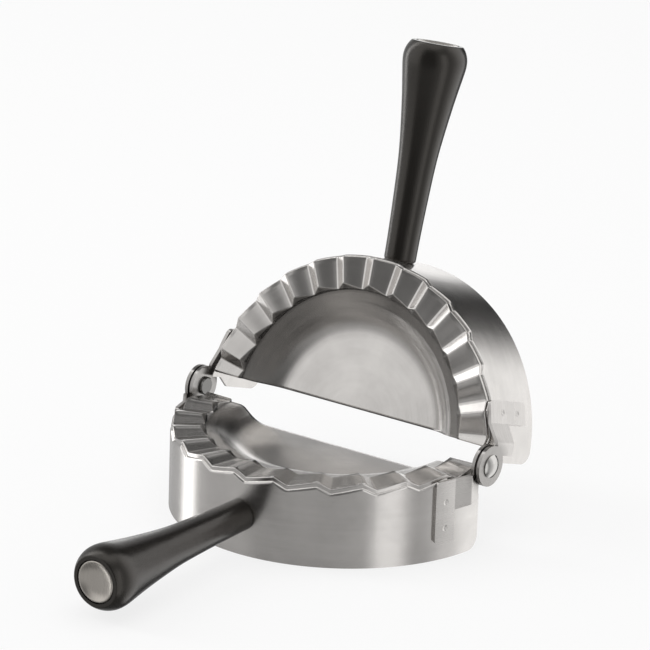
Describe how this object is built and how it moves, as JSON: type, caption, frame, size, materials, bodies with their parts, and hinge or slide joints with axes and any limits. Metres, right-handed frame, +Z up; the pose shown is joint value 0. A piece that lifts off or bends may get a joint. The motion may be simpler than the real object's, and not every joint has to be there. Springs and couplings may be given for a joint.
{
  "type": "empanada press",
  "caption": "Hinged press of two half-round steel pressings with crimped rims and shallow bowls, each with a flared round handle, for cutting and sealing filled dough.",
  "frame": {"origin": "on the table, in the middle of the lower half's half-round foot, half a radius in front of the hinge line", "axes": "+X along the hinge line, to the right seen from the lower handle; -Y towards the lower handle; +Z up"},
  "size_m": [0.1322, 0.1988, 0.1614],
  "materials": {
    "pressing": "satin stainless steel, drawn lines along the skirt, circular lines in the bowl",
    "bracket": "satin stainless steel",
    "grip": "fine matte black plastic",
    "cap": "straight brushed disc with a bright bevel",
    "bush": "turned brass",
    "screw": "plain stainless steel",
    "washer": "plain stainless steel",
    "rivet": "smooth stainless steel, domed head"
  },
  "bodies": {
    "lower_half": {"lower_shell": "pressing", "lower_bracket_right": "bracket", "lower_bracket_left": "bracket", "lower_handle": "grip", "lower_handle_cap": "cap", "lower_handle_bush": "bush", "lower_handle_screw": "screw", "lower_saddle_washer": "washer", "hinge_rivet_right": "rivet", "hinge_washer_right": "washer", "hinge_rivet_left": "rivet", "hinge_washer_left": "washer"},
    "upper_half": {"upper_shell": "pressing", "upper_bracket_right": "bracket", "upper_bracket_left": "bracket", "upper_handle": "grip", "upper_handle_cap": "cap", "upper_handle_bush": "bush", "upper_handle_screw": "screw", "upper_saddle_washer": "washer"}
  },
  "joints": [
    {"name": "hinge", "type": "hinge", "parent": "lower_half", "child": "upper_half", "pos_m": [0, 0.03, 0.0307], "axis": [1, 0, 0], "range_deg": [-72.3, 107.7]}
  ]
}
